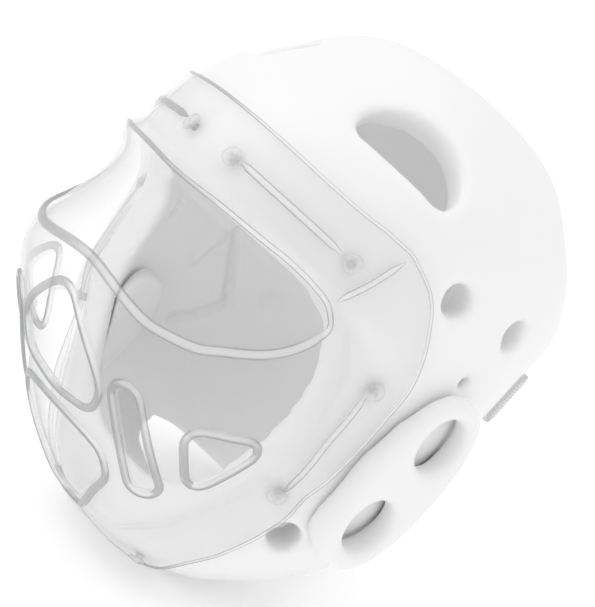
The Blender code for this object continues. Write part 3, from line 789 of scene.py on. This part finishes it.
for width, height, places in PRESSED_LINES:
    for side in (1, -1):
        line = [tuple(in_lengths(place, side)) for place in places]
        curve = flowing(line, line[0], line[-1], 10)
        path = [nearest(point) for point in evenly(curve, RIDGE_STEP, False)]
        ridges.append(bead(path, width, height, False))
# The bead along the shield's outer edge takes the ridge finish, so the edge shows that finish's painted
# dark lines and highlight.
edge_rows = outer_points.reshape(len(grid), columns, 3)
loop = [*edge_rows[0], *edge_rows[1:, -1], *edge_rows[-1, -2::-1], *edge_rows[-2:0:-1, 0]]
path = [(point, nearest(point)[1]) for point in evenly(loop, EDGE_STEP, True)]
ridges.append(bead(path, EDGE_WIDTH, EDGE_HEIGHT, True))
joined = bmesh.new()
joined.from_mesh(shield)
for ridge_points, ridge_faces in ridges:
    corners = [joined.verts.new(point) for point in ridge_points]
    for face in ridge_faces:
        joined.faces.new([corners[k] for k in face]).material_index = 1
joined.to_mesh(shield)
joined.free()

clear_finish = Finish("clear plastic", Roughness=0.06, IOR=1.49)
# Painted shade: where the sheet is seen edge-on, at its bends and edges, the colour turns grey and the
# alpha rises, standing in for the dark lines a clear sheet shows there.
facing = clear_finish.node("LayerWeight", None, {"Blend": 0.5}, output="Facing")
painted_edge_shade = facing ** 2.2
clear_finish.set(
    clear_finish.shader,
    {
        "Base Color": clear_finish.blend(painted_edge_shade, grey(0.95), grey(0.62, 0.01)),
        "Alpha": 0.07 + painted_edge_shade * 0.62,
        "Specular IOR Level": 0.6,
    },
)
clear_finish.bumped(clear_finish.noise(28.0, 1.0), 0.0006, 0.35)
ridge_finish = Finish("clear plastic ridge", Roughness=0.06, IOR=1.49)
# Painted shade and highlight: a ridge's steep sides are painted dark grey and its top half-opaque white,
# standing in for the thin dark lines and white glint of a pressed ridge in clear plastic.
facing = ridge_finish.node("LayerWeight", None, {"Blend": 0.5}, output="Facing")
stops = [(0.07, grey(0.0)), (0.36, grey(1.0))]
painted_ridge_shade = ridge_finish.node("ValToRGB", {"stops": stops}, {0: facing})
ridge_finish.set(
    ridge_finish.shader,
    {
        "Base Color": ridge_finish.blend(painted_ridge_shade, grey(1.0), grey(0.36, 0.01)),
        "Alpha": 0.34 + painted_ridge_shade * 0.34,
    },
)
finishes = [clear_finish, ridge_finish]
face_shield = piece("clear_face_shield", shield, finishes, "face_shield")
face_shield.data.set_sharp_from_angle(angle=SHARP_FROM)

# 5. Rivets. Ten clear domed rivets with a thin washer hold the shield to the foam, two at the brow, one
# at each temple, two at each cheek and two under the chin.
rivet_finish = Finish("clear rivet", Roughness=0.12, IOR=1.49)
facing = rivet_finish.node("LayerWeight", None, {"Blend": 0.5}, output="Facing")
# Painted shade: the dome turns grey and less clear where it is seen edge-on, standing in for the dark ring
# a clear rivet shows.
rivet_finish.set(
    rivet_finish.shader,
    {
        "Base Color": rivet_finish.blend(facing ** 1.5, grey(0.92), grey(0.50)),
        "Alpha": 0.30 + facing * 0.45,
    },
)
RIVET_PROFILE = (
    # radius and height over the foam, in millimetres
    (0.0, 4.30), (0.5, 4.32), (0.9, 4.60), (1.3, 4.95), (1.9, 5.05), (2.6, 4.90), (3.3, 4.45), (3.9, 3.95),
    (4.1, 3.75), (4.5, 3.72), (4.6, 3.60), (4.5, 3.48), (1.9, 3.48), (1.9, -11.6), (0.0, -11.6),
)
RIVET_SIDES = 36
MILLIMETRE = 0.001
SMALLEST = 0.001


def turned(profile, seat_point, axis, sides):
    """Points and faces of a turned piece, from a profile in millimetres."""
    across = axis.orthogonal().normalized()
    up = axis.cross(across)
    made = []
    for radius, height in profile:
        for k in range(sides):
            turn = math.tau * k / sides
            spoke = across * math.cos(turn) + up * math.sin(turn)
            made.append(seat_point + (axis * height + spoke * max(radius, SMALLEST)) * MILLIMETRE)
    faces = []
    for row in range(len(profile) - 1):
        for k in range(sides):
            after = (k + 1) % sides
            here = row * sides
            faces.append((here + k, here + after, here + sides + after, here + sides + k))
    return made, faces


for k, (point, axis) in enumerate(rivet_seats):
    mesh = mesh_from("rivet", *turned(RIVET_PROFILE, point, axis, RIVET_SIDES))
    name = f"rivet_{k + 1:02d}"
    piece(f"domed_{name}", mesh, [rivet_finish], name)

# 6. Rear strap. A wide band of light grey woven elastic across the back of the head, with raised ribs
# along it; its ends go through slits in the foam.
STRAP_WIDTH = 0.029
STRAP_THICKNESS = 0.0022
STRAP_Z = 0.172
STRAP_STAND_OFF = 0.0008
STRAP_ANGLE = 56.0
STRAP_STEPS = 90
STRAP_RIBS = 17
STRAP_TAIL = 0.012
CORE_SHARE = 0.7
RIB_RISE = 0.00035
EDGE_SHARPNESS = 8


def skin_at(z, turn, out):
    """Point of the smooth skin at a height and a turn from the front, pushed out level."""
    row = int(np.searchsorted(rings[:, 0, 2], z)) - 1
    share = (z - rings[row, 0, 2]) / (rings[row + 1, 0, 2] - rings[row, 0, 2])
    place = turn / 360.0 * FORM_SIDES
    k = int(place) % FORM_SIDES
    after = (k + 1) % FORM_SIDES
    level = rings[row] * (1 - share) + rings[row + 1] * share
    here = Vector(level[k])
    there = Vector(level[after])
    along = (there - here).normalized()
    return here.lerp(there, place - int(place)) + Vector((along.y, -along.x, 0)) * out


path = []
for k in range(STRAP_STEPS + 1):
    turn = 180 - STRAP_ANGLE + 2 * STRAP_ANGLE * k / STRAP_STEPS
    path.append(skin_at(STRAP_Z, turn, STRAP_STAND_OFF + STRAP_THICKNESS / 2))
for end, beside in ((0, 1), (-1, -2)):
    way = (path[end] - path[beside]).normalized()
    inward = Vector((-path[end].x, -path[end].y, 0)).normalized()
    tail = path[end] + (way + inward).normalized() * STRAP_TAIL
    path = [tail] + path if end == 0 else path + [tail]
section = []
RIB_STEPS = 4
count = STRAP_RIBS * RIB_STEPS
for k in range(count + 1):
    up = (k / count - 0.5) * STRAP_WIDTH
    rib = 0.5 - 0.5 * math.cos(math.tau * k / RIB_STEPS)
    edge = math.sqrt(max(1 - (abs(up) / (STRAP_WIDTH / 2)) ** EDGE_SHARPNESS, 0.0))
    section.append((up, (STRAP_THICKNESS / 2 * CORE_SHARE + RIB_RISE * rib) * edge))
section += [(up, -out) for up, out in reversed(section)]
strap_points = []
for k, point in enumerate(path):
    way = (path[min(k + 1, len(path) - 1)] - path[max(k - 1, 0)]).normalized()
    side = Vector((way.y, -way.x, 0))
    for up, out in section:
        strap_points.append(point + side * out + Vector((0, 0, up)))
around = len(section)
strap_faces = []
for row in range(len(path) - 1):
    for k in range(around):
        after = (k + 1) % around
        here = row * around
        strap_faces.append((here + k, here + after, here + around + after, here + around + k))
strap_finish = Finish("light grey woven elastic", Roughness=0.85)
place = strap_finish.node("TexCoord", output="Object")
picks = {"Vector": place, "Scale": 260.0, "Distortion": 0.4}
weave = strap_finish.node("TexWave", {"bands_direction": "X"}, picks)
strap_finish.set(
    strap_finish.shader,
    {"Base Color": strap_finish.blend(weave, grey(0.55), grey(0.74)), "Sheen Weight": 0.2},
)
strap_finish.bumped(weave, 0.0003, 0.7)
strap = mesh_from("rear strap", strap_points, strap_faces)
piece("woven_rear_strap", strap, [strap_finish], "rear_strap")

# 7. Floor, light and camera. A plain pale floor, broad soft light from above and the left, and the
# camera where the photo was taken from, level with the face as worn and rolled to the right.
floor_finish = Finish("pale floor", Roughness=0.9)
paleness = {"Base Color": grey(0.95), "Emission Color": grey(1.0), "Emission Strength": 0.16}
floor_finish.set(floor_finish.shader, paleness)
FLOOR = 6.0
FLOOR_DROP = 0.0002
floor_corners = [(-FLOOR, -FLOOR, 0), (FLOOR, -FLOOR, 0), (FLOOR, FLOOR, 0), (-FLOOR, FLOOR, 0)]
floor_mesh = mesh_from("floor", floor_corners, [(0, 1, 2, 3)])
floor_mesh.materials.append(floor_finish.material)
floor = bpy.data.objects.new("floor", floor_mesh)
bpy.context.scene.collection.objects.link(floor)
floor.location.z = -FLOOR_DROP

world = bpy.data.worlds.new("studio")
world.use_nodes = True
daylight = world.node_tree.nodes["Background"]
daylight.inputs["Color"].default_value = grey(1.0)
daylight.inputs["Strength"].default_value = 0.89
bpy.context.scene.world = world


LIT_MIDDLE = Vector((0, 0, 0.1))


def lamp(name, place, size, power):
    """A round soft lamp that points at the guard."""
    light = bpy.data.lights.new(name, "AREA")
    light.shape = "DISK"
    light.size = size
    light.energy = power
    made = bpy.data.objects.new(name, light)
    made.location = place
    made.rotation_euler = (LIT_MIDDLE - Vector(place)).to_track_quat("-Z", "Y").to_euler()
    bpy.context.scene.collection.objects.link(made)


lamp("key", (-0.9, -0.8, 1.5), 1.2, 5.0)
lamp("top", (0.3, 0.5, 1.8), 1.5, 3.0)

fill = bpy.data.lights.new("fill", "POINT")
fill.energy = 0.020
fill.shadow_soft_size = 0.03
fill_lamp = bpy.data.objects.new("fill", fill)
fill_lamp.location = WORN @ Vector((0.0, 0.015, 0.165))
bpy.context.scene.collection.objects.link(fill_lamp)

AZIMUTH = math.radians(38)
ROLL = math.radians(42)
CAMERA_DISTANCE = 0.9
CAMERA_TARGET = Vector((0, 0, 0.139))
PHOTO_LONG_SIDE = 607
FOCAL_PIXELS = 1890
back = Vector((math.sin(AZIMUTH), -math.cos(AZIMUTH), 0))
right = Vector((math.cos(AZIMUTH), math.sin(AZIMUTH), 0))
up = Vector((0, 0, 1))
camera_x = right * math.cos(ROLL) + up * math.sin(ROLL)
camera_y = up * math.cos(ROLL) - right * math.sin(ROLL)
turn = Matrix((camera_x, camera_y, back)).transposed().to_4x4()
camera_data = bpy.data.cameras.new("camera")
camera_data.sensor_width = 36.0
camera_data.lens = FOCAL_PIXELS * camera_data.sensor_width / PHOTO_LONG_SIDE
camera = bpy.data.objects.new("camera", camera_data)
camera.matrix_world = WORN @ Matrix.Translation(CAMERA_TARGET + back * CAMERA_DISTANCE) @ turn
bpy.context.scene.collection.objects.link(camera)
bpy.context.scene.camera = camera
bpy.context.scene.view_settings.view_transform = "Standard"
